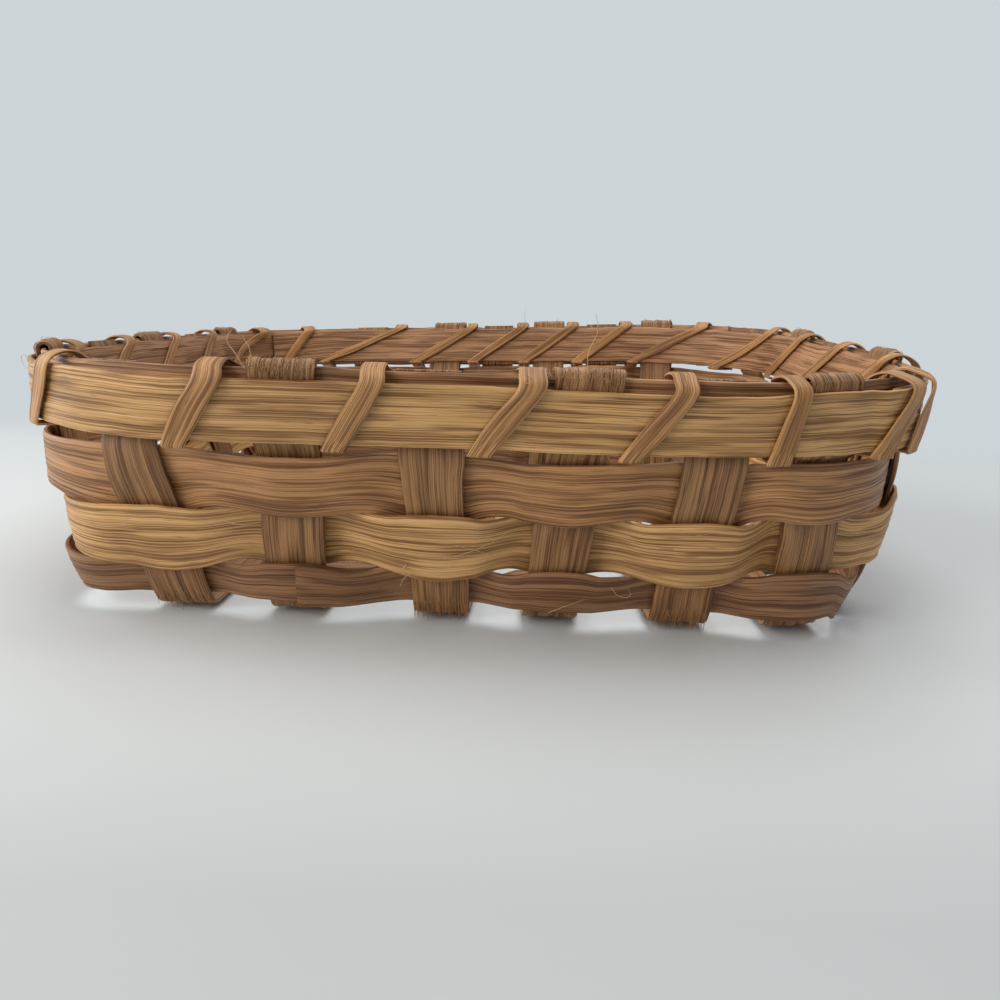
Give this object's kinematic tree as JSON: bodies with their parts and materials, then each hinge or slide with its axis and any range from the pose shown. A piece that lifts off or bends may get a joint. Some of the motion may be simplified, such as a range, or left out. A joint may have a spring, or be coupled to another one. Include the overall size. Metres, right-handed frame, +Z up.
{
  "type": "berry basket",
  "caption": "Low open basket plaited from flat wooden splints, with flared walls, rounded corners and a rim of two hoops bound by a slanting strip",
  "frame": {"origin": "middle of the underside, on the surface that the basket stands on", "axes": "+Z up, X along the long rim with +X to the right, -Y towards the front wall"},
  "size_m": [0.2326, 0.2066, 0.0711],
  "materials": {
    "stake_splint": "matte",
    "dark_weaver": "matte",
    "pale_weaver": "satin",
    "lashing_strip": "matte"
  },
  "bodies": {
    "root": {"long_splint_1": "stake_splint", "long_splint_2": "stake_splint", "long_splint_3": "stake_splint", "long_splint_4": "stake_splint", "long_splint_5": "stake_splint", "long_splint_6": "stake_splint", "cross_splint_1": "stake_splint", "cross_splint_2": "stake_splint", "cross_splint_3": "stake_splint", "cross_splint_4": "stake_splint", "cross_splint_5": "stake_splint", "bottom_weaver": "dark_weaver", "middle_weaver": "pale_weaver", "top_weaver": "dark_weaver", "rim_row": "dark_weaver", "outer_hoop": "pale_weaver", "inner_hoop": "dark_weaver", "rim_lashing": "lashing_strip"}
  },
  "joints": []
}
